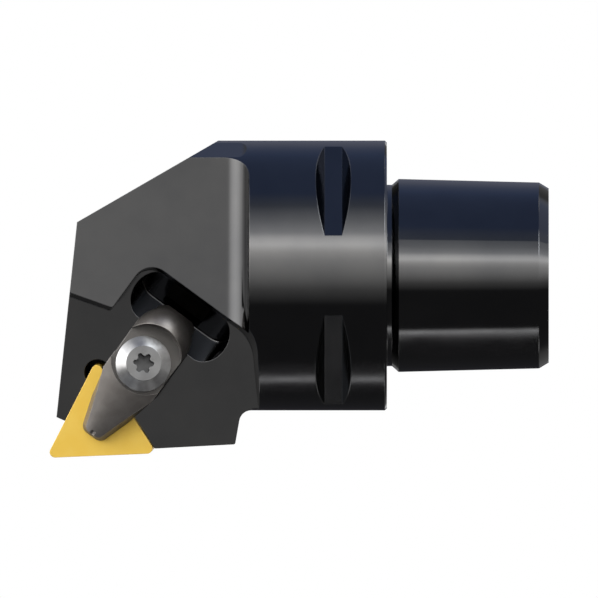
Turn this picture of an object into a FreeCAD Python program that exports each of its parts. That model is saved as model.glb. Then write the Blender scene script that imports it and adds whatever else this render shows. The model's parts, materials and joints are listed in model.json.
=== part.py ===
import FreeCAD, Part
import math
import os

# A turning tool holder with a polygonal taper shank, for one triangular insert under a top clamp.
# Sizes are in millimetres and angles in degrees. The tool is modelled lying on its back: x runs
# sideways away from the cutting corner, y along the tool axis to the cutting end, z out of the
# clamp side. The origin is on the tool axis, in the plane where the flange meets the machine.
# At the end every piece is stood upright, so that the shank points down and y becomes up.

V = FreeCAD.Vector
X_AXIS, Y_AXIS, Z_AXIS = V(1, 0, 0), V(0, 1, 0), V(0, 0, 1)
FAR = 60.0                  # more than any size of the tool
OVER = 1.0                  # how far a cut runs past a face

# Coupling
flange_dia = 40.0
flange_len = 20.0
flange_chamfer = 0.3
shank_width = 28.1          # at half its length, the same in every direction
shank_lobe_radius = 10.4    # of the section's three rounded corners, there too
shank_taper = 1 / 20
shank_len = 24.0
shank_end_chamfer = 1.45
shank_end_angle = 30.0
neck_len = 0.75
neck_step = 0.9             # of the undercut neck, inside the full section
neck_ramp = 1.0

# Gripper grooves round the flange
groove_turns = (45, 135, 225, 315)
groove_from_gauge = 7.94
groove_floor = 2.6
groove_depth = 2.3
groove_wall_angle = 30.0

# Clamping hole up the middle of the shank
entry_chamfer = 1.0
bore_dia = 18.0
bore_len = 6.0
lock_groove_depth = 1.1
lock_groove_len = 3.6
bolt_core_dia = 12.5        # core of the M14 x 1.5 thread of the centre bolt
bolt_core_end = 4.0         # past the gauge plane
drill_point_angle = 118.0

# Cutting corner and insert
tool_reach = 50.0           # gauge plane to the corner
tool_offset = 27.0          # tool axis to the corner
edge_lead = 3.0             # the main edge runs 93 degrees to the feed
seat_tilt = 6.0             # the insert falls by this angle towards its corner, both ways
insert_circle = 9.525
insert_thickness = 4.76
insert_corner = 0.8
insert_hole_dia = 3.81
insert_hole_flare = 0.35

# Seat under the insert
shim_thickness = 3.18
shim_inset = 0.35
shim_screw_play = 0.2
support_inset = 0.45        # of the holder's nose, from the shim's edge
relief_dia = 4.0            # hole that frees the insert's inner corner
relief_shift = 1.2          # from that corner towards the insert's middle
relief_extra_depth = 0.6

# Head
head_flat_height = 9.7
head_flat_fillet = 4.0
head_flat_gap = 0.4         # between the flange's end and the wall of the flat
facet_turn = 70.5
facet_distance = 19.74
facet_setback = 1.8
slant_start = 25.0          # where the slanted side leaves the flange's outline
slant_angle = 30.0
head_front = 45.95          # upper end of the front face
head_front_lean = 6.0
front_foot_side = -21.0
front_foot_angle = 24.0
front_foot_len = 1.3
tail_start = 34.3           # lower side of the head, between the insert and the flange
tail_side = -25.66
tail_end = 22.5
tail_lean = 3.0
tail_corner_round = 0.3
tail_clearance = 6.0
shoulder_lean = 10.0
shoulder_fillet = 1.8
overhang_depth = 13.0       # of the nose block, below the tool axis
overhang_chamfer = 4.0
back_taper_start = 27.0
back_taper_angle = 17.0

# Lower platform round the insert, with its zigzag step
platform_drop = 0.8         # below the insert's top face
platform_wall_gap = 0.1     # between the flange's end and the platform's end
step_level = 3.2            # height at which the step's outline is drawn
step_front_angle = 19.5
step_aside = 8.6            # from the clamp's middle to the wall beside it
step_heel_behind = 3.46
step_behind = 12.35         # from the screw to the wall behind the clamp
step_heel_round = 0.4
step_corner_round = 3.0
step_rear_round = 6.0

# Ramp slot for the heel of the clamp
slot_radius = 3.05
slot_len = 16.3
slot_shift = 0.3            # of its middle, sideways from the clamp
slot_edge_behind = 5.0      # its upper edge, behind the screw
slot_depth = 3.8            # from that edge down to the slot's bottom corner
slot_angle = 45.0
slot_fillet = 0.35

# Clamp
clamp_angle = 53.8          # of the clamp's length to the tool axis
screw_side = -13.05         # where the screw's axis passes at head height
screw_along = 36.09
screw_pass_height = 8.5
screw_lean = 4.3            # of the screw and of the step's walls, away from the insert
clamp_width = 8.9
clamp_rear = 9.7            # behind the screw's axis, at the insert's level
clamp_nose = 12.9
clamp_gap = 0.6             # under the clamp, above the insert's top face
clamp_height = 6.2
clamp_straight = 3.0        # where the sides start to draw in, ahead of the screw
clamp_waist = 7.9           # where they draw in more
clamp_waist_width = 6.75
clamp_side_lean = 16.0      # of the sides, from the waist to the nose
clamp_nose_width = 3.5
clamp_nose_height = 1.9
clamp_nose_round = 1.4
clamp_crest_fall = 13.3     # of the top, from the screw to the nose
clamp_arch_angle = 38.5     # half the angle of the cone that arches the top there
clamp_arch_apex = 3.5       # of that cone, past the nose
nose_pad_len = 4.4
nose_notch_width = 0.7
nose_notch_len = 1.2
peg_dia = 3.0
peg_len = 1.2
heel_width = 6.6
heel_bottom = 0.4           # height of the heel's foot over the tool axis
heel_rear = 9.2
heel_play = 0.04

# Clamp screw, M5, and the spring that lifts the clamp
thread_dia = 5.0
thread_play = 0.05
screw_hole_play = 0.25
screw_head_dia = 8.2
screw_head_seat = 3.5       # over the insert's top plane
screw_head_height = 3.0
screw_head_flat = 5.2
screw_head_cone = 1.2
counterbore_dia = 10.4
counterbore_shift = 0.8     # of its middle, behind the screw
screw_len = 17.0            # under the head
screw_tip_chamfer = 0.8
screw_hole_spare = 1.0
recess_dia = 3.1            # across the six lobes
recess_lobe_dia = 0.74
recess_depth = 1.9
spring_wire = 0.7
spring_dia = 6.3            # through the middle of the wire
spring_turns = 2.0
spring_sections = 7         # of the coil, a turn
spring_pocket_dia = 7.6
spring_pocket_depth = 2.8
spring_seat_depth = 0.9     # cut into the clamp's underside
spring_play = 0.05

# Screw of the shim, M3.5
shim_screw_dia = 3.5
shim_screw_head = 5.4
shim_screw_head_height = 1.3
shim_screw_sink = 0.25
shim_screw_len = 4.0
shim_socket = 2.0           # across the flats of its hexagon
shim_socket_depth = 1.0


def rad(angle):
    return math.radians(angle)


def frame(origin, x_axis, z_axis):
    # A placement with its z axis along one direction and its x axis as near as can be to another.
    z_axis = V(z_axis).normalize()
    x_axis = (x_axis - z_axis * x_axis.dot(z_axis)).normalize()
    y_axis = z_axis.cross(x_axis)
    return FreeCAD.Placement(FreeCAD.Matrix(
        x_axis.x, y_axis.x, z_axis.x, origin.x,
        x_axis.y, y_axis.y, z_axis.y, origin.y,
        x_axis.z, y_axis.z, z_axis.z, origin.z,
        0, 0, 0, 1,
    ))


def rounded_wire(corners):
    # A closed outline in the xy plane. A corner is (x, y) or (x, y, radius).
    stops = []
    for index, corner in enumerate(corners):
        here = V(corner[0], corner[1], 0)
        radius = corner[2] if len(corner) > 2 else 0
        before = V(*corners[index - 1][:2], 0)
        after = V(*corners[(index + 1) % len(corners)][:2], 0)
        back, ahead = (before - here).normalize(), (after - here).normalize()
        half = back.getAngle(ahead) / 2
        reach = radius / math.tan(half) if radius else 0
        crest = here
        if radius:
            crest = here + (back + ahead).normalize() * (radius / math.sin(half) - radius)
        stops.append((here + back * reach, crest, here + ahead * reach))
    edges = []
    for index, (start, crest, end) in enumerate(stops):
        if (end - start).Length > 1e-6:
            edges.append(Part.Arc(start, crest, end).toShape())
        following = stops[(index + 1) % len(stops)][0]
        if (following - end).Length > 1e-6:
            edges.append(Part.LineSegment(end, following).toShape())
    return Part.Wire(edges)


def placed(shape, place):
    shape = shape.copy()
    shape.Placement = place.multiply(shape.Placement)
    return shape


def prism(corners, length, place=FreeCAD.Placement(), start=0.0):
    # The outline drawn in the xy plane of a frame and pushed along its z axis.
    face = Part.Face(rounded_wire(corners))
    face.translate(Z_AXIS * start)
    return placed(face.extrude(Z_AXIS * length), place)


def turned(corners):
    # An outline of (radius, along) points turned about the tool axis.
    return Part.Face(rounded_wire(corners)).revolve(V(), Y_AXIS, 360)


def spun(corners, place):
    # An outline of (radius, height) points turned about the z axis of a frame.
    shape = turned(corners)
    shape.rotate(V(), X_AXIS, 90)
    return placed(shape, place)


def rod(dia, bottom, top, place):
    return placed(Part.makeCylinder(dia / 2, top - bottom, V(0, 0, bottom)), place)


# The insert's seat: a plane through the cutting corner, falling towards it both ways.
fall = math.tan(rad(seat_tilt))
seat_normal = V(-fall, fall, 1).normalize()


def seat_height(side, along):
    return fall * (tool_reach - along + side + tool_offset)


corner_reach = insert_corner * math.sqrt(1 - seat_normal.x ** 2)
corner_side, corner_along = corner_reach - tool_offset, tool_reach - corner_reach
corner_centre = V(corner_side, corner_along, seat_height(corner_side, corner_along))
edge_direction = V(math.sin(rad(edge_lead)), -math.cos(rad(edge_lead)), 0)
corner_frame = frame(corner_centre, edge_direction, seat_normal)
to_middle = insert_circle - 2 * insert_corner
insert_middle = corner_frame.multVec(V(math.cos(rad(30)), math.sin(rad(30)), 0) * to_middle)
insert_frame = frame(insert_middle, edge_direction, seat_normal)
pocket_depth = insert_thickness + shim_thickness

# The clamp's length, its screw's axis, and frames on both where the screw meets the seat's plane.
clamp_direction = V(-math.sin(rad(clamp_angle)), math.cos(rad(clamp_angle)), 0)
clamp_aside = Z_AXIS.cross(clamp_direction)
screw_axis = (Z_AXIS - clamp_direction * math.tan(rad(screw_lean))).normalize()
screw_pass = V(screw_side, screw_along, screw_pass_height)
drop_to_seat = (screw_pass - insert_middle).dot(seat_normal) / screw_axis.dot(seat_normal)
screw_root = screw_pass - screw_axis * drop_to_seat
screw_frame = frame(screw_root, clamp_direction, screw_axis)
clamp_frame = frame(screw_root, clamp_direction, seat_normal)
platform_at_screw = -platform_drop / seat_normal.dot(screw_axis)


def beside_screw(ahead, aside):
    # A point of the plan, from the screw along the clamp and across it.
    return V(screw_side, screw_along, 0) + clamp_direction * ahead + clamp_aside * aside


def beside_platform(ahead, aside):
    # The same point, on the platform.
    point = beside_screw(ahead, aside)
    point.z = seat_height(point.x, point.y) - platform_drop
    return point


def insert_outline(inset, corner_round):
    # The triangle about the insert's middle, drawn in by a distance, its cutting corner first.
    reach = insert_circle - 2 * inset
    turns = [rad(turn) for turn in (210, 330, 90)]
    return [(reach * math.cos(turn), reach * math.sin(turn), corner_round) for turn in turns]


def six_lobe(dia, lobe_dia, depth, top, place):
    # A six-lobe driver recess, cut down from a height of a frame.
    core = rod(dia - lobe_dia, top - depth, top + OVER, place)
    valleys, lobes = [], []
    for step in range(6):
        turn, between = rad(60 * step), rad(60 * step + 30)
        at = V(math.cos(turn), math.sin(turn), 0) * (dia - lobe_dia) / 2
        lobe = Part.makeCylinder(lobe_dia / 2, depth + OVER, at + Z_AXIS * (top - depth))
        lobes.append(placed(lobe, place))
        at = V(math.cos(between), math.sin(between), 0) * (dia - lobe_dia / 4) / 2
        valley = Part.makeCylinder(lobe_dia / 2, depth + OVER, at + Z_AXIS * (top - depth))
        valleys.append(placed(valley, place))
    return core.cut(valleys).fuse(lobes).removeSplitter()


def outward_at(turn):
    # The direction out of the tool axis, at an angle round it from the clamp side.
    return V(math.sin(rad(turn)), 0, math.cos(rad(turn)))


def shank_section(along, shrink):
    # A curve of constant width: three rounded corners, one of them on the clamp side, and between
    # them three wider arcs, each about the centre of the corner across from it.
    spread = shank_width - 2 * shank_lobe_radius
    radius = shank_lobe_radius + (along + shank_len / 2) * shank_taper / 2 - shrink
    edges = []
    for turn in (0, 120, 240):
        own = outward_at(turn) * spread / math.sqrt(3) + Y_AXIS * along
        across = outward_at(turn + 240) * spread / math.sqrt(3) + Y_AXIS * along
        start, crest, end = [own + outward_at(turn + part) * radius for part in (-30, 0, 30)]
        middle, last = [across + outward_at(turn + part) * (radius + spread) for part in (60, 90)]
        edges += [Part.Arc(start, crest, end).toShape(), Part.Arc(end, middle, last).toShape()]
    return Part.Wire(edges)


def make_shank():
    # The undercut neck under the flange, the ramp out to the full section, the taper and the chamfer.
    chamfer_at = shank_end_chamfer - shank_len
    end_step = shank_end_chamfer * math.tan(rad(shank_end_angle))
    stages = [
        (OVER, neck_step), (-neck_len, neck_step), (-neck_len - neck_ramp, 0), (chamfer_at, 0),
        (-shank_len, end_step),
    ]
    return Part.makeLoft([shank_section(along, shrink) for along, shrink in stages], True, True)


def make_clamping_hole():
    # Entry, plain bore and locking groove, then the core hole of the centre bolt's thread.
    bore, bolt = bore_dia / 2, bolt_core_dia / 2
    bore_start = entry_chamfer - shank_len
    groove_start = bore_start + bore_len
    groove_end = groove_start + lock_groove_len
    outer = bore + lock_groove_depth
    tip = bolt / math.tan(rad(drill_point_angle / 2))
    return turned([
        (0, -FAR), (bore + entry_chamfer, -FAR), (bore + entry_chamfer, -shank_len), (bore, bore_start),
        (bore, groove_start), (outer, groove_start + lock_groove_depth), (outer, groove_end),
        (bolt, groove_end + (outer - bolt) / 2), (bolt, bolt_core_end), (0, bolt_core_end + tip),
    ])


def across_cut(corners, turn=0.0):
    # An outline of (along, outward) points, swept straight across the tool.
    outward = outward_at(turn)
    sideways = Y_AXIS.cross(outward) * -1
    flipped = [(-corner[0],) + tuple(corner[1:]) for corner in corners]
    return prism(flipped, 2 * FAR, frame(sideways * -FAR, Y_AXIS * -1, sideways))


def make_gripper_groove(turn):
    floor = flange_dia / 2 - groove_depth
    half, top = groove_floor / 2, FAR / 2
    flare = (top - floor) * math.tan(rad(groove_wall_angle))
    middle = groove_from_gauge
    groove = across_cut([
        (middle - half, floor), (middle + half, floor),
        (middle + half + flare, top), (middle - half - flare, top),
    ], turn)
    return groove


def make_round_body():
    full = flange_dia / 2
    return turned([(0, 0), (full - flange_chamfer, 0), (full, flange_chamfer), (full, FAR), (0, FAR)])


def make_nose_block():
    # The part of the head beside the round body that carries the insert.
    top, bottom = head_flat_height + 1, -overhang_depth
    inner = tail_side + overhang_chamfer
    outline = [(inner - (top - bottom), top), (inner, bottom), (0, bottom), (0, top)]
    return prism(outline, FAR - flange_len, frame(Y_AXIS * FAR, X_AXIS, Y_AXIS * -1))


def make_head_outline():
    # The head seen from the clamp side, as a tall prism.
    full = flange_dia / 2
    slant = math.tan(rad(slant_angle))
    front_side = full - (head_front - slant_start) * slant
    front_foot = head_front + (front_side - front_foot_side) * math.tan(rad(head_front_lean))
    foot_side = front_foot_side - front_foot_len * math.sin(rad(front_foot_angle))
    foot_along = front_foot - front_foot_len * math.cos(rad(front_foot_angle))
    tail_end_side = tail_side + (tail_start - tail_end) * math.tan(rad(tail_lean))
    shoulder = tail_end - (-full - tail_end_side) * math.tan(rad(shoulder_lean))
    outline = [
        (full + 2, -1), (full + 2, slant_start - 2 / slant), (front_side, head_front),
        (front_foot_side, front_foot), (foot_side, foot_along), (insert_middle.x, insert_middle.y),
        (tail_side, tail_start), (tail_end_side, tail_end, tail_corner_round),
        (-full, shoulder, shoulder_fillet), (-full, flange_len - 2), (-full - 2, flange_len - 2),
        (-full - 2, -1),
    ]
    return prism(outline, 2 * FAR, start=-FAR)


def make_support():
    # The nose of the holder under the shim, square to the tilted seat so that it clears the work.
    outline = insert_outline(shim_inset + support_inset, insert_corner)
    column = prism(outline, FAR, insert_frame, -pocket_depth - FAR)
    slab = Part.makeBox(2 * FAR, FAR, FAR, V(-FAR, flange_len, -overhang_depth))
    return column.common(slab)


def make_flat_cut():
    wall = flange_len + head_flat_gap
    floor = head_flat_height
    return across_cut([(wall, FAR), (wall, floor, head_flat_fillet), (FAR, floor), (FAR, FAR)])


def make_facet_cut():
    wall = flange_len - facet_setback
    floor = facet_distance
    return across_cut([(wall, FAR), (wall, floor, head_flat_fillet), (FAR, floor), (FAR, FAR)], facet_turn)


def make_back_cut():
    floor = -flange_dia / 2
    rise = (FAR - back_taper_start) * math.tan(rad(back_taper_angle))
    return across_cut([(back_taper_start, floor), (FAR, floor + rise), (FAR, -FAR), (back_taper_start, -FAR)])


def make_tail_cut():
    # The lower side of the head leans in below the platform, like the insert's own flank.
    run = V(math.sin(rad(tail_lean)), -math.cos(rad(tail_lean)), 0)
    top = V(tail_side, tail_start, seat_height(tail_side, tail_start) - platform_drop)
    inward = FAR * math.tan(rad(tail_clearance))
    place = frame(top - run * FAR / 2, X_AXIS, run)
    return prism([(0, 0), (-FAR, 0), (-FAR, -FAR), (inward, -FAR)], FAR, place)


def make_platform_cut():
    # What is over the platform, in front of the zigzag step, whose walls lean with the screw.
    heel = beside_screw(-step_heel_behind, -step_aside)
    front = heel + V(math.sin(rad(step_front_angle)), math.cos(rad(step_front_angle)), 0) * FAR
    corner = beside_screw(-step_behind, -step_aside)
    rear_along = flange_len + platform_wall_gap
    rear = corner + clamp_aside * ((rear_along - corner.y) / clamp_aside.y)
    foot = rear - V(math.cos(rad(seat_tilt)), math.sin(rad(seat_tilt)), 0) * FAR
    place = frame(Z_AXIS * step_level, X_AXIS, screw_axis)
    outline = []
    for point, rounding in (
        (front, 0), (heel, step_heel_round), (corner, step_corner_round), (rear, step_rear_round),
        (foot, 0), (V(foot.x, front.y, 0), 0),
    ):
        drawn = place.inverse().multVec(point + Z_AXIS * step_level)
        outline.append((drawn.x, drawn.y, rounding))
    leaning = prism(outline, 2 * FAR, place, -FAR)
    above = Part.makeBox(4 * FAR, 4 * FAR, FAR, V(-2 * FAR, -2 * FAR, -platform_drop))
    return leaning.common(placed(above, insert_frame))


def slot_place():
    # The frame of the slanting cutter: its tip at the slot's bottom corner, x across the ramp.
    edge = beside_platform(-slot_edge_behind, slot_shift)
    down, back = math.cos(rad(slot_angle)), math.sin(rad(slot_angle))
    ramp = (clamp_direction * -back - Z_AXIS * down)
    corner = edge + ramp * (slot_depth / down)
    return frame(corner, clamp_direction * -down + Z_AXIS * back, ramp * -1)


def make_slot_cut():
    half = slot_len / 2
    outline = [
        (0, -half, slot_radius), (2 * slot_radius, -half, slot_radius),
        (2 * slot_radius, half, slot_radius), (0, half, slot_radius),
    ]
    cutter = prism(outline, FAR / 4)
    rim = [edge for edge in cutter.Edges if abs(edge.BoundBox.ZMax) < 1e-6]
    return placed(cutter.makeFillet(slot_fillet, rim), slot_place())


def make_pocket_cut():
    pocket = prism(insert_outline(0, 0), pocket_depth + FAR / 4, insert_frame, -pocket_depth)
    reach = insert_circle - 2 * insert_corner - relief_shift + insert_corner
    relief_place = insert_frame.multiply(FreeCAD.Placement(V(0, reach, 0), FreeCAD.Rotation()))
    return pocket.fuse(rod(relief_dia, -pocket_depth - relief_extra_depth, FAR / 4, relief_place))


def make_holder_body():
    body = make_round_body().fuse(make_nose_block()).common(make_head_outline())
    body = body.cut([make_tail_cut(), make_back_cut()]).fuse(make_support())
    body = body.cut([make_flat_cut(), make_facet_cut(), make_platform_cut()])
    body = body.fuse(make_shank()).removeSplitter()
    screw_hole_end = screw_head_seat - screw_len - screw_hole_spare
    shim_hole_end = -pocket_depth - shim_screw_len - screw_hole_spare
    cuts = [make_clamping_hole(), make_pocket_cut(), make_slot_cut()]
    cuts += [make_gripper_groove(turn) for turn in groove_turns]
    cuts += [
        rod(thread_dia, screw_hole_end, FAR / 4, screw_frame),
        rod(spring_pocket_dia, platform_at_screw - spring_pocket_depth, 0, screw_frame),
        rod(shim_screw_dia, shim_hole_end, -pocket_depth + OVER, insert_frame),
    ]
    return body.cut(cuts)


def make_insert():
    body = prism(insert_outline(0, insert_corner), insert_thickness, insert_frame, -insert_thickness)
    hole, flare = insert_hole_dia / 2, insert_hole_flare
    wide = hole + flare
    top, bottom = 0, -insert_thickness
    return body.cut(spun([
        (0, top + OVER), (wide, top + OVER), (wide, top), (hole, top - flare), (hole, bottom + flare),
        (wide, bottom), (wide, bottom - OVER), (0, bottom - OVER),
    ], insert_frame))


def shim_screw_outline(play):
    # The countersunk head, or with a play the hole for it in the shim, from the middle outwards.
    top = -insert_thickness - shim_screw_sink
    head, shaft = shim_screw_head / 2 + play, shim_screw_dia / 2 - thread_play + play
    neck = top - shim_screw_head_height
    return [(head, top), (head, neck + head - shaft), (shaft, neck)]


def make_shim():
    bottom = -pocket_depth
    body = prism(insert_outline(shim_inset, insert_corner), shim_thickness, insert_frame, bottom)
    mouth, rim, neck = shim_screw_outline(shim_screw_play)
    over = -insert_thickness + OVER
    hole = [(0, over), (mouth[0], over), rim, neck, (neck[0], bottom - OVER), (0, bottom - OVER)]
    return body.cut(spun(hole, insert_frame))


def make_shim_screw():
    rim, edge, neck = shim_screw_outline(0)
    shaft, end = neck[0], -pocket_depth - shim_screw_len
    tip = [(shaft, end + screw_tip_chamfer), (shaft - screw_tip_chamfer, end), (0, end)]
    body = spun([(0, rim[1]), rim, edge, neck] + tip, insert_frame)
    reach = shim_socket / math.sqrt(3)
    turns = [rad(60 * step) for step in range(6)]
    socket = [(reach * math.cos(turn), reach * math.sin(turn)) for turn in turns]
    return body.cut(prism(socket, shim_socket_depth + OVER, insert_frame, rim[1] - shim_socket_depth))


def make_clamp_rear():
    # Behind the screw the clamp is half round on top, with a round end that closes in a dome.
    half, top = clamp_width / 2, clamp_gap + clamp_height
    centre = X_AXIS * (half - clamp_rear)
    section = [(-half, clamp_gap), (half, clamp_gap), (half, top, half), (-half, top, half)]
    bar = prism(section, clamp_rear - half, frame(centre, Y_AXIS, X_AXIS))
    profile = [(0, clamp_gap), (half, clamp_gap), (half, top, half), (0, top)]
    return bar.fuse(spun(profile, frame(centre, X_AXIS, Z_AXIS)))


def nose_outline(rise):
    # The sides and the round end ahead of the screw, at a height over the clamp's underside.
    draw = rise * math.tan(rad(clamp_side_lean))
    half, waist, nose = clamp_width / 2, clamp_waist_width / 2 - draw, clamp_nose_width / 2 - draw
    end, end_round = clamp_nose - draw, clamp_nose_round - draw
    outline = rounded_wire([
        (0, -half), (clamp_straight, -half), (clamp_waist, -waist), (end, -nose, end_round),
        (end, nose, end_round), (clamp_waist, waist), (clamp_straight, half), (0, half),
    ])
    outline.translate(Z_AXIS * (clamp_gap + rise))
    return outline


def make_clamp_front():
    # Ahead of the screw the sides draw in under a cone that lies on its side, with its upper line
    # along the crest. The pad stands on the insert, and a small notch marks the nose.
    fall, lie = rad(clamp_crest_fall), rad(clamp_crest_fall - clamp_arch_angle)
    forward, backward = V(math.cos(fall), 0, -math.sin(fall)), V(-math.cos(lie), 0, math.sin(lie))
    tip = V(clamp_nose, 0, clamp_gap + clamp_nose_height)
    cone_end = FAR * math.tan(rad(clamp_arch_angle))
    roof = Part.makeCone(0, cone_end, FAR, tip + forward * clamp_arch_apex, backward)
    exposed = clamp_nose + OVER + counterbore_shift - counterbore_dia / 2
    rise = clamp_nose_height + exposed * math.tan(fall)
    front = Part.makeLoft([nose_outline(0), nose_outline(rise)], True, True).common(roof)
    pad = Part.Face(nose_outline(0)).extrude(Z_AXIS * -clamp_gap)
    pad = pad.common(Part.makeBox(nose_pad_len, FAR, FAR, V(clamp_nose - nose_pad_len, -FAR / 2, -OVER)))
    notch = Part.makeCylinder(nose_notch_width / 2, FAR, tip - forward * nose_notch_len, forward)
    return front.fuse(pad).cut(notch)


def on_ramp(height):
    # How far ahead of the screw the heel's sloping face is, at a height over the tool axis.
    climb = beside_platform(-slot_edge_behind, slot_shift).z - height
    return -slot_edge_behind - climb * math.tan(rad(slot_angle)) - heel_play / math.cos(rad(slot_angle))


def make_heel():
    # The wedge under the clamp's rear end, lying on the ramp of the slot.
    top, foot = clamp_frame.multVec(V(-clamp_rear, 0, clamp_gap + OVER)).z, heel_bottom
    outline = [(on_ramp(top), top), (-heel_rear, top), (-heel_rear, foot), (on_ramp(foot), foot)]
    base = V(screw_side, screw_along, 0) + clamp_aside * heel_width / 2
    heel = prism(outline, heel_width, frame(base, clamp_direction, clamp_aside * -1))
    half = clamp_width / 2
    plan = [(-clamp_rear, half, half), (-clamp_rear, -half, half), (0, -half), (0, half)]
    return heel.common(prism(plan, FAR, clamp_frame, -FAR / 2))


def make_clamp():
    body = placed(make_clamp_rear().fuse(make_clamp_front()), clamp_frame)
    body = body.fuse([make_heel(), rod(peg_dia, -peg_len, 0, insert_frame)]).removeSplitter()
    shift = FreeCAD.Placement(X_AXIS * -counterbore_shift, FreeCAD.Rotation())
    counterbore_place = screw_frame.multiply(shift)
    return body.cut([
        rod(thread_dia + 2 * screw_hole_play, -FAR, FAR, screw_frame),
        rod(counterbore_dia, screw_head_seat, FAR, counterbore_place),
        rod(spring_pocket_dia, platform_at_screw - OVER, clamp_gap + spring_seat_depth, screw_frame),
    ])


def make_spring():
    # A coil between the bottom of its pocket and its seat under the clamp, lofted round by round.
    bottom = platform_at_screw - spring_pocket_depth + spring_wire / 2 + spring_play
    top = clamp_gap + spring_seat_depth - spring_wire / 2 - spring_play
    count = round(spring_turns * spring_sections)
    rings = []
    for step in range(count + 1):
        turn = 2 * math.pi * step / spring_sections
        outward = V(math.cos(turn), math.sin(turn), 0)
        centre = outward * spring_dia / 2 + Z_AXIS * (bottom + (top - bottom) * step / count)
        rings.append(Part.Wire([Part.Circle(centre, Z_AXIS.cross(outward), spring_wire / 2).toShape()]))
    return placed(Part.makeLoft(rings, True, True), screw_frame)


def make_clamp_screw():
    seat = screw_head_seat
    top = seat + screw_head_height
    head, flat, shaft = screw_head_dia / 2, screw_head_flat / 2, thread_dia / 2 - thread_play
    end = seat - screw_len
    body = spun([
        (0, top), (flat, top), (head, top - screw_head_cone), (head, seat), (shaft, seat),
        (shaft, end + screw_tip_chamfer), (shaft - screw_tip_chamfer, end), (0, end),
    ], screw_frame)
    return body.cut(six_lobe(recess_dia, recess_lobe_dia, recess_depth, top, screw_frame))


def export(name, shape):
    # Stand the piece upright on its shank and write it.
    upright = shape.copy()
    upright.rotate(V(), X_AXIS, 90)
    upright.exportStep("parts/" + name + ".step")


os.makedirs("parts", exist_ok=True)
export("holder_body", make_holder_body())
export("insert", make_insert())
export("shim", make_shim())
export("shim_screw", make_shim_screw())
export("clamp", make_clamp())
export("clamp_screw", make_clamp_screw())
export("clamp_spring", make_spring())
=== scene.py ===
import bmesh
import bpy
import json
import math
from mathutils import Matrix, Vector


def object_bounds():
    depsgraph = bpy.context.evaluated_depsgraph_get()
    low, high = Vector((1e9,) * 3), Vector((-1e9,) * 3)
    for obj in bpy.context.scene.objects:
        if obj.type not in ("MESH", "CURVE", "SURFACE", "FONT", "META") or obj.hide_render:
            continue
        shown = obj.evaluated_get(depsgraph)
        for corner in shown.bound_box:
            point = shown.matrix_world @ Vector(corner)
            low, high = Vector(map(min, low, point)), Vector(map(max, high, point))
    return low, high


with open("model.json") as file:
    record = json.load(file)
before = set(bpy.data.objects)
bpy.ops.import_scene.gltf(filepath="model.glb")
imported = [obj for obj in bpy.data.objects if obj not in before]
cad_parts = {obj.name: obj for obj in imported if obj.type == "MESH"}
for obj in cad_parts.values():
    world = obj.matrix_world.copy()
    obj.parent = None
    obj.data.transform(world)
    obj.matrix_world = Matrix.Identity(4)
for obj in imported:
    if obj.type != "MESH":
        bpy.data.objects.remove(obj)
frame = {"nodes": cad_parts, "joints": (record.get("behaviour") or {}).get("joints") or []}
nodes = frame["nodes"]
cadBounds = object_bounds()
print("frame loaded:", sorted(nodes))


# Helpers for node trees. A fade is given as a pair: where it starts and where it is full.

def setInputs(tree, node, inputs):
    for key, value in inputs.items():
        if isinstance(value, bpy.types.NodeSocket):
            tree.links.new(value, node.inputs[key])
        else:
            node.inputs[key].default_value = value


def addNode(tree, kind, inputs=None, **settings):
    node = tree.nodes.new(kind)
    for name, value in settings.items():
        setattr(node, name, value)
    setInputs(tree, node, inputs or {})
    return node


def calc(tree, operation, first, second=0.0):
    return addNode(tree, "ShaderNodeMath", {0: first, 1: second}, operation=operation).outputs[0]


def product(tree, value, *others):
    for other in others:
        value = calc(tree, "MULTIPLY", value, other)
    return value


def total(tree, value, *others):
    for other in others:
        value = calc(tree, "ADD", value, other)
    return value


def opposite(tree, value):
    return calc(tree, "SUBTRACT", 1, value)


def combine(tree, operation, first, second=(0, 0, 0)):
    node = addNode(tree, "ShaderNodeVectorMath", {0: first, 1: second}, operation=operation)
    return node.outputs["Value" if operation in ("DOT_PRODUCT", "LENGTH") else "Vector"]


def fade(tree, value, start, end, low=0.0, high=1.0):  # soft step from low at start to high at end
    inputs = {0: value, 1: start, 2: end, 3: low, 4: high}
    return addNode(tree, "ShaderNodeMapRange", inputs, interpolation_type="SMOOTHSTEP").outputs[0]


def blend(tree, amount, first, second):
    colors = [color if isinstance(color, bpy.types.NodeSocket) else (*color, 1) for color in (first, second)]
    inputs = {0: amount, 6: colors[0], 7: colors[1]}
    return addNode(tree, "ShaderNodeMix", inputs, data_type="RGBA").outputs[2]


# Camera: square on to the clamp side, with the tool lying on its right

cameraSetup = {
    "middle": (-0.00349, 0, 0.01303),
    "distance": 0.35,
    "width": 0.08866,
    "clip": (0.01, 3),
}


def addCamera(setup):
    lens = bpy.data.cameras.new("camera")
    lens.type = "ORTHO"
    lens.ortho_scale = setup["width"]
    lens.clip_start, lens.clip_end = setup["clip"]
    camera = bpy.data.objects.new("camera", lens)
    right, up, back = Vector((0, 0, -1)), Vector((1, 0, 0)), Vector((0, -1, 0))
    turn = Matrix((right, up, back)).transposed().to_4x4()
    camera.matrix_world = Matrix.Translation(Vector(setup["middle"]) + back * setup["distance"]) @ turn
    bpy.context.scene.collection.objects.link(camera)
    bpy.context.scene.camera = camera


addCamera(cameraSetup)
bpy.context.scene.view_settings.view_transform = "Standard"
print("camera placed")


# Studio: soft lights round the tool, which its metal mirrors, in front of a plain white backdrop.
# The names x, y and z stand for the parts of a direction, and height for z without its sign.

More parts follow.
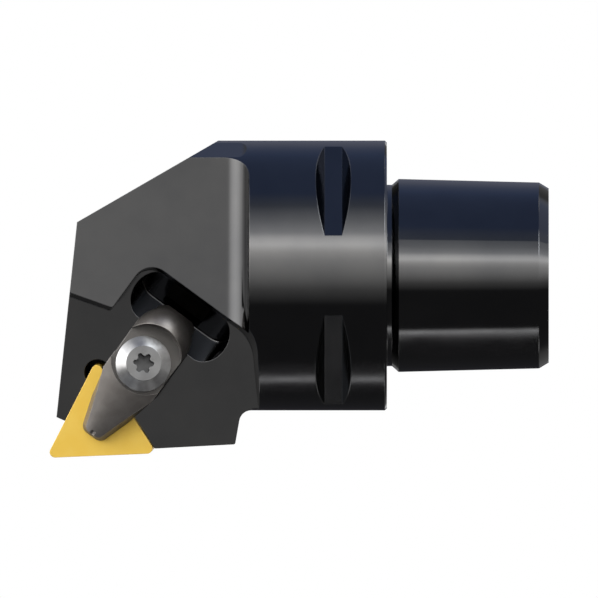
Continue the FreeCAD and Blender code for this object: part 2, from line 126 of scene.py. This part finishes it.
white = (1, 1, 1, 1)
studio = {
    "side": {
        "strength": 4.4,
        "stops": [  # twice the turn of the face that shows the light, from the clamp side, and colour
            (-180, (0.004, 0.004, 0.005)),
            (-150, (0.008, 0.008, 0.009)),
            (-110, (0.017, 0.017, 0.018)),
            (-25, (0.017, 0.017, 0.018)),
            (-12, (0.105, 0.105, 0.105)),
            (0, (0.28, 0.28, 0.28)),
            (13, (0.45, 0.45, 0.45)),
            (20, (0.64, 0.635, 0.63)),
            (26.5, (1.0, 1.0, 1.0)),
            (32, (0.82, 0.82, 0.83)),
            (37, (0.45, 0.46, 0.48)),
            (48, (0.26, 0.27, 0.29)),
            (62, (0.08, 0.09, 0.115)),
            (75, (0.04, 0.055, 0.103)),
            (127, (0.04, 0.055, 0.103)),
            (150, (0.047, 0.052, 0.072)),
            (180, (0.02, 0.02, 0.025)),
        ],
    },
    "back": {  # takes the place of the side lights behind the tool, above and below its level
        "strength": 3.2,
        "y": (-0.05, 0.45),
        "heightLow": (0.08, 0.24),
        "heightHigh": (0.52, 0.4),
        "stops": [  # degrees round the tool, from the side away from the clamp, and brightness
            (-90, 0.1), (-78, 0.6), (-70, 1.0), (-61, 0.5), (-54, 0.07), (-16, 0.06), (-8, 0.5), (0, 0.62),
            (7, 0.45), (15, 0.05), (42, 0.05), (53, 0.25), (66, 0.55), (76, 0.4), (90, 0.1),
        ],
    },
    "strip": {  # thin light low beside the tool, with its turn and half its width in degrees
        "turn": -50.3,
        "reach": 2.2,
        "slant": 3.5,
        "slantEnd": 0.04,
        "height": (0.12, 0.06),
        "strength": 3.0,
        "color": (0.97, 0.98, 1, 1),
    },
    "panels": [
        {  # below the end of the shank
            "x": (-0.1, 0.15), "y": (0.75, 0.45), "z": (-0.15, -0.4), "strength": 0.26,
            "color": (1, 0.99, 0.98, 1),
        },
        {  # over the cutting end, with degrees from the clamp side towards that end, and brightness
            "x": (-0.22, 0.04), "z": (0.25, 0.6), "strength": 3.0,
            "stops": [(0, 0.0), (25, 0.1), (45, 0.75), (60, 0.9), (75, 0.7), (88, 0.3), (100, 0.0)],
        },
        {  # overhead
            "y": (-0.1, 0.3), "z": (0.64, 0.9), "strength": 0.75, "color": white,
        },
    ],
    "spots": [  # the fade is of the cosine of the angle from the spot's middle
        {"toward": (-0.8, 0.0, 0.6), "fade": (0.8, 1.0), "strength": 0.3, "color": (0.8, 0.88, 1, 1)},
        {"toward": (0.74, -0.5, -0.45), "fade": (0.92, 0.98), "strength": 7.0, "color": (0.9, 0.95, 1, 1)},
    ],
}


def lightRamp(tree, angle, low, high, stops):  # angle in radians, low, high and the stops in degrees
    inputs = {0: angle, 1: math.radians(low), 2: math.radians(high), 3: 0, 4: 1}
    place = addNode(tree, "ShaderNodeMapRange", inputs)
    node = addNode(tree, "ShaderNodeValToRGB", {0: place.outputs[0]})
    elements = node.color_ramp.elements
    while len(elements) > 1:
        elements.remove(elements[-1])
    for index, (at, color) in enumerate(stops):
        position = (at - low) / (high - low)
        element = elements.new(position) if index else elements[0]
        element.position = position
        element.color = (*color, 1) if isinstance(color, tuple) else (color, color, color, 1)
    return node.outputs["Color"]


def sideAndBack(tree, x, y, height, turn, side, back):
    behind = product(tree, fade(tree, y, *back["y"]), fade(tree, height, *back["heightLow"]),
                     fade(tree, height, *back["heightHigh"]))
    sideColor = lightRamp(tree, product(tree, turn, 2), -180, 180, side["stops"])
    backColor = lightRamp(tree, calc(tree, "ARCTAN2", x, y), -90, 90, back["stops"])
    return [(sideColor, product(tree, opposite(tree, behind), side["strength"])),
            (backColor, product(tree, behind, back["strength"]))]


def lowStrip(tree, z, height, turn, strip):
    level = calc(tree, "MAXIMUM", calc(tree, "MINIMUM", z, strip["slantEnd"]), -strip["slantEnd"])
    slanted = total(tree, turn, product(tree, level, strip["slant"]), -math.radians(strip["turn"]))
    near = fade(tree, calc(tree, "ABSOLUTE", slanted), math.radians(strip["reach"]), 0)
    return strip["color"], product(tree, near, fade(tree, height, *strip["height"]), strip["strength"])


def lightPanel(tree, x, y, z, panel):
    parts = {"x": x, "y": y, "z": z}
    masks = [fade(tree, part, *panel[name]) for name, part in parts.items() if name in panel]
    if "stops" in panel:
        rise = calc(tree, "ARCTAN2", z, product(tree, y, -1))
        color = lightRamp(tree, rise, 0, 180, panel["stops"])
    else:
        color = panel["color"]
    return color, product(tree, panel["strength"], *masks)


def lightSpot(tree, direction, spot):
    cosine = combine(tree, "DOT_PRODUCT", direction, Vector(spot["toward"]).normalized())
    return spot["color"], product(tree, fade(tree, cosine, *spot["fade"]), spot["strength"])


def addStudio(setup):
    world = bpy.data.worlds.new("studio")
    bpy.context.scene.world = world
    world.use_nodes = True
    tree = world.node_tree
    tree.nodes.clear()
    direction = addNode(tree, "ShaderNodeTexCoord").outputs["Generated"]
    x, y, z = addNode(tree, "ShaderNodeSeparateXYZ", {0: direction}).outputs[:3]
    height = calc(tree, "ABSOLUTE", z)
    # turn round the tool of the face that mirrors this direction to the front
    turn = calc(tree, "ARCTAN2", x, opposite(tree, y))

    lights = sideAndBack(tree, x, y, height, turn, setup["side"], setup["back"])
    lights.append(lowStrip(tree, z, height, turn, setup["strip"]))
    lights += [lightPanel(tree, x, y, z, panel) for panel in setup["panels"]]
    lights += [lightSpot(tree, direction, spot) for spot in setup["spots"]]

    shaders = [addNode(tree, "ShaderNodeBackground", {"Color": color, "Strength": strength}).outputs[0]
               for color, strength in lights]
    lit = shaders[0]
    for shader in shaders[1:]:
        lit = addNode(tree, "ShaderNodeAddShader", {0: lit, 1: shader}).outputs[0]
    backdrop = addNode(tree, "ShaderNodeBackground", {"Color": white, "Strength": 1}).outputs[0]
    seen = addNode(tree, "ShaderNodeLightPath").outputs["Is Camera Ray"]
    mixed = addNode(tree, "ShaderNodeMixShader", {0: seen, 1: lit, 2: backdrop})
    addNode(tree, "ShaderNodeOutputWorld", {0: mixed.outputs[0]})


# Floor: white paper just under the tool, which metal doesn't mirror and which lights it less than it shows

floorSetup = {
    "color": (0.86, 0.86, 0.86),
    "glow": 0.4,
    "dim": 0.3,
    "halfSize": 0.5,
    "gap": 0.00002,
}


def paper(setup):
    material = bpy.data.materials.new("floorPaper")
    material.use_nodes = True
    tree = material.node_tree
    tree.nodes.clear()
    rays = addNode(tree, "ShaderNodeLightPath")
    seen = rays.outputs["Is Camera Ray"]
    tone = addNode(tree, "ShaderNodeMapRange", {0: seen, 1: 0, 2: 1, 3: setup["dim"], 4: 1})
    color = blend(tree, tone.outputs[0], (0, 0, 0), setup["color"])
    diffuse = addNode(tree, "ShaderNodeBsdfDiffuse", {"Color": color})
    glow = product(tree, seen, setup["glow"])
    light = addNode(tree, "ShaderNodeEmission", {"Color": white, "Strength": glow})
    both = addNode(tree, "ShaderNodeAddShader", {0: diffuse.outputs[0], 1: light.outputs[0]})
    clear = addNode(tree, "ShaderNodeBsdfTransparent")
    inputs = {0: rays.outputs["Is Glossy Ray"], 1: both.outputs[0], 2: clear.outputs[0]}
    shown = addNode(tree, "ShaderNodeMixShader", inputs)
    addNode(tree, "ShaderNodeOutputMaterial", {0: shown.outputs[0]})
    return material


def addFloor(setup):
    mesh = bpy.data.meshes.new("floor")
    form = bmesh.new()
    bmesh.ops.create_grid(form, x_segments=1, y_segments=1, size=setup["halfSize"])
    bmesh.ops.translate(form, verts=form.verts, vec=(0, 0, cadBounds[0][2] - setup["gap"]))
    form.to_mesh(mesh)
    form.free()
    mesh.materials.append(paper(setup))
    floor = bpy.data.objects.new("floor", mesh)
    bpy.context.scene.collection.objects.link(floor)


addStudio(studio)
addFloor(floorSetup)
print("studio lit")


# Helpers for the finishes. Places are in millimetres in the part's own frame, and so are radii, heights
# and depths. A zone lies between them about an axis.

mmPerMetre = 1000
lift = next(joint for joint in frame["joints"] if joint["name"] == "clamp_lift")
toolAxis = {"root": (0, 0, 0), "way": (0, 0, 1)}
seatAxis = {"root": (-21.9838, -1.3056, 42.594), "way": (-0.104, -0.9891, 0.104)}
reliefAxis = {"root": (-14.5007, -2.0506, 42.9918), "way": seatAxis["way"]}
screwAxis = {"root": [mmPerMetre * value for value in lift["pos_m"]], "way": lift["axis"]}


def newFinish(name):
    material = bpy.data.materials.new(name)
    material.use_nodes = True
    tree = material.node_tree
    tree.nodes.clear()
    shader = addNode(tree, "ShaderNodeBsdfPrincipled")
    addNode(tree, "ShaderNodeOutputMaterial", {0: shader.outputs[0]})
    metres = addNode(tree, "ShaderNodeTexCoord").outputs["Object"]
    return material, tree, shader, combine(tree, "MULTIPLY", metres, (mmPerMetre,) * 3)


def cloud(tree, place, noise):  # soft noise from 0 to 1, made stronger where its middle range is given
    inputs = {"Vector": place, "Scale": noise["perMm"], "Detail": noise.get("detail", 3),
              "Roughness": noise.get("roughness", 0.55)}
    value = addNode(tree, "ShaderNodeTexNoise", inputs).outputs[0]
    return fade(tree, value, *noise["range"]) if "range" in noise else value


def spread(tree, noise, values, over=(0.25, 0.75)):  # the values, as the noise passes its middle range
    return fade(tree, noise, *over, *values)


def lines(tree, along, perMm):  # uneven parallel lines across one measure
    inputs = {"W": along, "Scale": perMm, "Detail": 2, "Roughness": 0.6}
    return addNode(tree, "ShaderNodeTexNoise", inputs, noise_dimensions="1D").outputs[0]


def heightOn(tree, place, axis):
    offset = combine(tree, "SUBTRACT", place, axis["root"])
    return combine(tree, "DOT_PRODUCT", offset, Vector(axis["way"]).normalized())


def radiusFrom(tree, place, axis):
    offset = combine(tree, "SUBTRACT", place, axis["root"])
    return combine(tree, "LENGTH", combine(tree, "CROSS_PRODUCT", offset, Vector(axis["way"]).normalized()))


def zoneAbout(tree, place, axis, zone):
    masks = []
    if "radius" in zone:
        masks.append(fade(tree, radiusFrom(tree, place, axis), *zone["radius"]))
    if "height" in zone:
        masks.append(fade(tree, heightOn(tree, place, axis), *zone["height"]))
    return product(tree, *masks)


def helix(tree, place, axis, pitch):  # ridges of a thread, 0 at the root and 1 at the crest
    way = Vector(axis["way"]).normalized()
    side = way.orthogonal().normalized()
    offset = combine(tree, "SUBTRACT", place, axis["root"])
    turn = calc(tree, "ARCTAN2", combine(tree, "DOT_PRODUCT", offset, way.cross(side)),
                combine(tree, "DOT_PRODUCT", offset, side))
    phase = total(tree, calc(tree, "DIVIDE", heightOn(tree, place, axis), pitch),
                  calc(tree, "DIVIDE", turn, 2 * math.pi))
    return product(tree, calc(tree, "PINGPONG", phase, 0.5), 2)


def plainNormal(tree):
    return addNode(tree, "ShaderNodeNewGeometry").outputs["Normal"]


edgeMatch = (0.995, 0.8)  # cosine between the rounded and the plain normal, off an edge and on it


def softEdge(tree, radius):  # normal with the edges rounded, and a mask of those edges
    rounded = addNode(tree, "ShaderNodeBevel", {"Radius": radius / mmPerMetre}, samples=6).outputs[0]
    return rounded, fade(tree, combine(tree, "DOT_PRODUCT", rounded, plainNormal(tree)), *edgeMatch)


def bumps(tree, normal, layers):  # patterns with their depths, one on another
    for pattern, depth in layers:
        inputs = {"Strength": 1, "Distance": depth / mmPerMetre, "Height": pattern, "Normal": normal}
        normal = addNode(tree, "ShaderNodeBump", inputs).outputs[0]
    return normal


def wear(node, material):
    node.data.materials.clear()
    node.data.materials.append(material)


# Holder: black oxide over turned, milled and ground steel

holderFinish = {
    "dark": (0.067, 0.067, 0.068),
    "light": (0.085, 0.084, 0.083),
    "mottle": {"perMm": 0.16, "detail": 4, "roughness": 0.6, "range": (0.25, 0.75)},
    "mottleShare": 0.45,
    "handled": {"perMm": 0.045, "detail": 2, "range": (0.3, 0.7)},
    "handledShare": 0.55,
    "edge": {"color": (0.16, 0.155, 0.15), "radius": 0.14, "share": 0.75, "roughness": 0.1},
    "edgeWear": {"perMm": 1.3, "detail": 3, "range": (0.35, 0.62)},
    "roughness": (0.075, 0.1),
    "polish": {"perMm": 0.35, "detail": 5, "roughness": 0.65},
    "polishOver": (0.2, 0.8),
    "speck": {"perMm": 5.0, "detail": 3, "roughness": 0.6},
    "speckRoughness": 0.015,
    "speckDepth": 0.0006,
    # inside the centre hole the colour is darkened: painted shade
    "boreShade": {"radius": (11.5, 10.5), "height": (13.5, 12.5), "color": (0.03, 0.031, 0.034), "share": 0.5},
    # the near-black, matt colour in the hole at the insert's inner corner is painted shade
    "reliefShade": {"radius": (2.07, 2.02), "height": (-9.2, -9.0), "color": (0.012, 0.013, 0.015),
               "roughness": 0.45},
    # the bluish, less metallic colour on the slot's slope is a painted reflection
    "rampReflection": {"facing": (0.571, -0.707, -0.418), "match": (0.75, 0.95), "middle": (-9.5, -4.0, 33.5),
             "reach": (12.0, 10.0), "color": (0.068, 0.074, 0.088), "metallic": 0.45},
    "turned": {"height": (20.3, 20.1), "perMm": 4.0, "depth": 0.00022},
    "ground": {"height": (-0.3, -0.5), "perMm": 9.0, "depth": 0.00016},
    "milled": {"lean": 0.55, "bow": 0.012, "perMm": 2.6, "depth": 0.0011},
    "thread": {"radius": (6.5, 6.4), "height": (4.2, 3.8), "pitch": 1.5, "depth": 0.5},
}


# rings on what was turned and ground, slanting strokes on the milled faces, and the centre thread
def toolMarks(tree, place, setup):
    turned, ground, milled, thread = (setup[name] for name in ("turned", "ground", "milled", "thread"))
    isTurned = zoneAbout(tree, place, toolAxis, turned)
    isGround = zoneAbout(tree, place, toolAxis, ground)
    profile = total(tree, heightOn(tree, place, toolAxis), radiusFrom(tree, place, toolAxis))
    coarse = product(tree, lines(tree, profile, turned["perMm"]), calc(tree, "SUBTRACT", isTurned, isGround))
    fine = product(tree, lines(tree, profile, ground["perMm"]), isGround)
    x, _, z = addNode(tree, "ShaderNodeSeparateXYZ", {0: place}).outputs[:3]
    bow = product(tree, calc(tree, "POWER", calc(tree, "ABSOLUTE", z), 2), milled["bow"])
    across = total(tree, product(tree, x, milled["lean"]), product(tree, z, 1 - milled["lean"]), bow)
    strokes = product(tree, lines(tree, across, milled["perMm"]), opposite(tree, isTurned))
    ridges = product(tree, helix(tree, place, toolAxis, thread["pitch"]),
                     zoneAbout(tree, place, toolAxis, thread))
    return [(coarse, turned["depth"]), (fine, ground["depth"]), (strokes, milled["depth"]),
            (ridges, thread["depth"])]


def holderSteel(setup):
    material, tree, shader, place = newFinish("blackOxideSteel")
    edge, boreShade, reliefShade, rampReflection = (setup[name] for name in ("edge", "boreShade", "reliefShade", "rampReflection"))
    rounded, edges = softEdge(tree, edge["radius"])

    tone = total(tree, product(tree, cloud(tree, place, setup["mottle"]), setup["mottleShare"]),
                 product(tree, cloud(tree, place, setup["handled"]), setup["handledShare"]))
    color = blend(tree, tone, setup["dark"], setup["light"])
    worn = product(tree, edges, cloud(tree, place, setup["edgeWear"]), edge["share"])
    color = blend(tree, worn, color, edge["color"])
    # painted shade: inside the centre hole the colour darkens halfway to a dark grey
    inBoreShade = product(tree, zoneAbout(tree, place, toolAxis, boreShade), boreShade["share"])
    color = blend(tree, inBoreShade, color, boreShade["color"])

    # the slot's slope, given a bluish, less metallic colour as a painted reflection of the light its walls
    # keep off it, and the hole at the insert's inner corner, coloured near black and matt as painted shade
    facing = combine(tree, "DOT_PRODUCT", plainNormal(tree), rampReflection["facing"])
    away = combine(tree, "LENGTH", combine(tree, "SUBTRACT", place, rampReflection["middle"]))
    onRampReflection = product(tree, fade(tree, facing, *rampReflection["match"]), fade(tree, away, *rampReflection["reach"]))
    color = blend(tree, onRampReflection, color, rampReflection["color"])
    # painted shade: the hole at the insert's inner corner is coloured near black, matt and not metallic
    inReliefShade = zoneAbout(tree, place, reliefAxis, reliefShade)
    color = blend(tree, inReliefShade, color, reliefShade["color"])
    metallic = product(tree, fade(tree, onRampReflection, 0, 1, 1, rampReflection["metallic"]), opposite(tree, inReliefShade))

    speck = cloud(tree, place, setup["speck"])
    polish = spread(tree, cloud(tree, place, setup["polish"]), setup["roughness"], setup["polishOver"])
    roughness = total(tree, polish, product(tree, speck, setup["speckRoughness"]),
                      product(tree, inReliefShade, reliefShade["roughness"]), product(tree, edges, edge["roughness"]))
    layers = toolMarks(tree, place, setup) + [(speck, setup["speckDepth"])]
    setInputs(tree, shader, {"Base Color": color, "Metallic": metallic, "Roughness": roughness,
                             "Normal": bumps(tree, rounded, layers)})
    return material


wear(nodes["holder_body"], holderSteel(holderFinish))
print("holder finished")


# Insert: gold coating on ground carbide, with a honed edge

insertFinish = {
    "gold": (0.80, 0.515, 0.072),
    "goldPale": (0.82, 0.545, 0.09),
    "tone": {"perMm": 0.3, "detail": 4, "roughness": 0.6, "range": (0.3, 0.7)},
    "honed": {"color": (0.9, 0.66, 0.24), "radius": 0.09, "share": 0.8},
    "metallic": 0.42,
    "roughness": (0.36, 0.46),
    "grain": {"perMm": 7.0, "detail": 3, "roughness": 0.7},
    "grainDepth": 0.0016,
    "flank": {"height": (-0.03, -0.1), "perMm": 8.0, "depth": 0.0015},
}


def goldCoating(setup):
    material, tree, shader, place = newFinish("goldCoating")
    honed, flank = setup["honed"], setup["flank"]
    rounded, edges = softEdge(tree, honed["radius"])
    color = blend(tree, cloud(tree, place, setup["tone"]), setup["gold"], setup["goldPale"])
    color = blend(tree, product(tree, edges, honed["share"]), color, honed["color"])
    grain = cloud(tree, place, setup["grain"])
    strokes = product(tree, lines(tree, heightOn(tree, place, seatAxis), flank["perMm"]),
                      zoneAbout(tree, place, seatAxis, flank))
    layers = [(grain, setup["grainDepth"]), (strokes, flank["depth"])]
    setInputs(tree, shader, {"Base Color": color, "Metallic": setup["metallic"],
                             "Roughness": spread(tree, grain, setup["roughness"]),
                             "Normal": bumps(tree, rounded, layers)})
    return material


wear(nodes["insert"], goldCoating(insertFinish))
print("insert finished")


# Shim: bare carbide, ground flat

shimFinish = {
    "dark": (0.10, 0.10, 0.106),
    "light": (0.15, 0.148, 0.145),
    "tone": {"perMm": 0.6, "detail": 4, "range": (0.3, 0.7)},
    "edge": {"color": (0.26, 0.26, 0.26), "radius": 0.1, "share": 0.7},
    "metallic": 0.9,
    "roughness": (0.22, 0.36),
    "grain": {"perMm": 9.0, "detail": 3, "roughness": 0.7},
    "grainDepth": 0.0012,
    "ground": {"perMm": 9.0, "depth": 0.0015},
}


def shimCarbide(setup):
    material, tree, shader, place = newFinish("shimCarbide")
    edge, ground = setup["edge"], setup["ground"]
    rounded, edges = softEdge(tree, edge["radius"])
    color = blend(tree, cloud(tree, place, setup["tone"]), setup["dark"], setup["light"])
    color = blend(tree, product(tree, edges, edge["share"]), color, edge["color"])
    grain = cloud(tree, place, setup["grain"])
    strokes = lines(tree, heightOn(tree, place, seatAxis), ground["perMm"])
    layers = [(grain, setup["grainDepth"]), (strokes, ground["depth"])]
    setInputs(tree, shader, {"Base Color": color, "Metallic": setup["metallic"],
                             "Roughness": spread(tree, grain, setup["roughness"]),
                             "Normal": bumps(tree, rounded, layers)})
    return material


wear(nodes["shim"], shimCarbide(shimFinish))
print("shim finished")


# Shim screw: turned steel

shimScrewFinish = {
    "dark": (0.30, 0.295, 0.29),
    "light": (0.42, 0.415, 0.41),
    "tone": {"perMm": 1.2, "detail": 4, "range": (0.3, 0.7)},
    "edgeRadius": 0.06,
    "roughness": (0.24, 0.36),
    "polish": {"perMm": 6.0},
    "polishOver": (0.2, 0.8),
    "turned": {"perMm": 11.0, "depth": 0.0015},
}


def shimScrewSteel(setup):
    material, tree, shader, place = newFinish("shimScrewSteel")
    rounded, _ = softEdge(tree, setup["edgeRadius"])
    color = blend(tree, cloud(tree, place, setup["tone"]), setup["dark"], setup["light"])
    roughness = spread(tree, cloud(tree, place, setup["polish"]), setup["roughness"], setup["polishOver"])
    profile = total(tree, radiusFrom(tree, place, seatAxis), heightOn(tree, place, seatAxis))
    rings = lines(tree, profile, setup["turned"]["perMm"])
    setInputs(tree, shader, {"Base Color": color, "Metallic": 1, "Roughness": roughness,
                             "Normal": bumps(tree, rounded, [(rings, setup["turned"]["depth"])])})
    return material


wear(nodes["shim_screw"], shimScrewSteel(shimScrewFinish))
print("shim screw finished")


# Clamp: satin steel, slightly brown, with a peened skin and a bare spot face under the screw

clampFinish = {
    "dark": (0.15, 0.137, 0.125),
    "light": (0.185, 0.17, 0.157),
    "tone": {"perMm": 0.45, "detail": 4, "roughness": 0.6, "range": (0.3, 0.7)},
    "spotFace": {"color": (0.083, 0.078, 0.073), "height": 3.6, "reach": (0.3, 0.15), "match": (0.99, 0.998),
                 "perMm": 7.0, "depth": 0.0014},
    "edge": {"color": (0.36, 0.345, 0.33), "radius": 0.16, "share": 0.7},
    "edgeWear": {"perMm": 1.5, "detail": 3, "range": (0.3, 0.6)},
    "metallic": 0.75,
    "roughness": (0.42, 0.5),
    "peened": {"perMm": 3.2, "detail": 3, "roughness": 0.6},
    "peenedDepth": 0.004,
    "drawn": {"along": (-0.807, 0.0, 0.5906), "perMm": 5.0, "depth": 0.0012},
}


def clampSteel(setup):
    material, tree, shader, place = newFinish("clampSteel")
    face, edge, drawn = setup["spotFace"], setup["edge"], setup["drawn"]
    rounded, edges = softEdge(tree, edge["radius"])
    miss = calc(tree, "ABSOLUTE", calc(tree, "SUBTRACT", heightOn(tree, place, screwAxis), face["height"]))
    facing = combine(tree, "DOT_PRODUCT", plainNormal(tree), Vector(screwAxis["way"]).normalized())
    onFace = product(tree, fade(tree, miss, *face["reach"]), fade(tree, facing, *face["match"]))
    color = blend(tree, cloud(tree, place, setup["tone"]), setup["dark"], setup["light"])
    color = blend(tree, onFace, color, face["color"])
    worn = product(tree, edges, cloud(tree, place, setup["edgeWear"]), edge["share"])
    color = blend(tree, worn, color, edge["color"])

    peened = cloud(tree, place, setup["peened"])
    across = combine(tree, "DOT_PRODUCT", place, Vector(drawn["along"]).cross((0, 1, 0)))
    strokes = product(tree, lines(tree, across, drawn["perMm"]), opposite(tree, onFace))
    rings = product(tree, lines(tree, radiusFrom(tree, place, screwAxis), face["perMm"]), onFace)
    layers = [(peened, setup["peenedDepth"]), (strokes, drawn["depth"]), (rings, face["depth"])]
    setInputs(tree, shader, {"Base Color": color, "Metallic": setup["metallic"],
                             "Roughness": spread(tree, peened, setup["roughness"]),
                             "Normal": bumps(tree, rounded, layers)})
    return material


wear(nodes["clamp"], clampSteel(clampFinish))
print("clamp finished")


# Clamp screw: a turned bright cone round a grey end face, a drive socket darkened with painted shade, and a
# rolled thread

screwFinish = {
    "coneDark": (0.34, 0.335, 0.33),
    "cone": (0.42, 0.415, 0.41),
    "tone": {"perMm": 1.1, "detail": 4, "range": (0.3, 0.7)},
    "edgeRadius": 0.1,
    "endFace": {"color": (0.15, 0.149, 0.147), "radius": (2.66, 2.58), "height": (3.5, 3.7)},
    # the dark colour in the drive socket is painted shade
    "recessShade": {"color": (0.07, 0.07, 0.07), "radius": (1.7, 1.6), "height": (6.45, 6.2)},
    "shaft": {"color": (0.30, 0.295, 0.285), "height": (3.4, 3.2)},
    "roughness": (0.34, 0.39),
    "grain": {"perMm": 8.0, "detail": 3, "roughness": 0.65},
    "grainDepth": 0.0008,
    "turned": {"perMm": 7.0, "depth": 0.001, "gloss": 0.85},
    "thread": {"pitch": 0.8, "depth": 0.3},
}


def screwSteel(setup):
    material, tree, shader, place = newFinish("screwSteel")
    endFace, recessShade, shaft, turned, thread = (
        setup[name] for name in ("endFace", "recessShade", "shaft", "turned", "thread"))
    rounded, _ = softEdge(tree, setup["edgeRadius"])
    onFace = zoneAbout(tree, place, screwAxis, endFace)
    inRecessShade = product(tree, zoneAbout(tree, place, screwAxis, recessShade), onFace)
    onShaft = zoneAbout(tree, place, screwAxis, shaft)
    color = blend(tree, cloud(tree, place, setup["tone"]), setup["coneDark"], setup["cone"])
    color = blend(tree, onFace, color, endFace["color"])
    # painted shade: the drive socket in the head is coloured near black
    color = blend(tree, inRecessShade, color, recessShade["color"])
    color = blend(tree, onShaft, color, shaft["color"])

    grain = cloud(tree, place, setup["grain"])
    profile = total(tree, radiusFrom(tree, place, screwAxis), heightOn(tree, place, screwAxis))
    rings = product(tree, lines(tree, profile, turned["perMm"]), opposite(tree, onFace))
    ridges = product(tree, helix(tree, place, screwAxis, thread["pitch"]), onShaft)
    layers = [(rings, turned["depth"]), (grain, setup["grainDepth"]), (ridges, thread["depth"])]

    # turning marks run round the axis, so light spreads away from it and back
    way = Vector(screwAxis["way"]).normalized()
    offset = combine(tree, "SUBTRACT", place, screwAxis["root"])
    outward = combine(tree, "CROSS_PRODUCT", way, combine(tree, "CROSS_PRODUCT", offset, way))
    setInputs(tree, shader, {"Base Color": color, "Metallic": 1,
                             "Roughness": spread(tree, grain, setup["roughness"]),
                             "Normal": bumps(tree, rounded, layers), "Anisotropic": turned["gloss"],
                             "Tangent": combine(tree, "NORMALIZE", outward)})
    return material


wear(nodes["clamp_screw"], screwSteel(screwFinish))
print("clamp screw finished")


# Spring: drawn wire

springFinish = {
    "dark": (0.30, 0.295, 0.29),
    "light": (0.44, 0.435, 0.43),
    "tone": {"perMm": 1.6, "detail": 4, "range": (0.3, 0.7)},
    "roughness": (0.22, 0.34),
    "polish": {"perMm": 7.0},
    "drawn": {"perMm": 14.0, "depth": 0.002},
}


def springSteel(setup):
    material, tree, shader, place = newFinish("springSteel")
    color = blend(tree, cloud(tree, place, setup["tone"]), setup["dark"], setup["light"])
    roughness = spread(tree, cloud(tree, place, setup["polish"]), setup["roughness"])
    strokes = lines(tree, radiusFrom(tree, place, screwAxis), setup["drawn"]["perMm"])
    normal = bumps(tree, plainNormal(tree), [(strokes, setup["drawn"]["depth"])])
    setInputs(tree, shader, {"Base Color": color, "Metallic": 1, "Roughness": roughness, "Normal": normal})
    return material


wear(nodes["clamp_spring"], springSteel(springFinish))
print("spring finished")
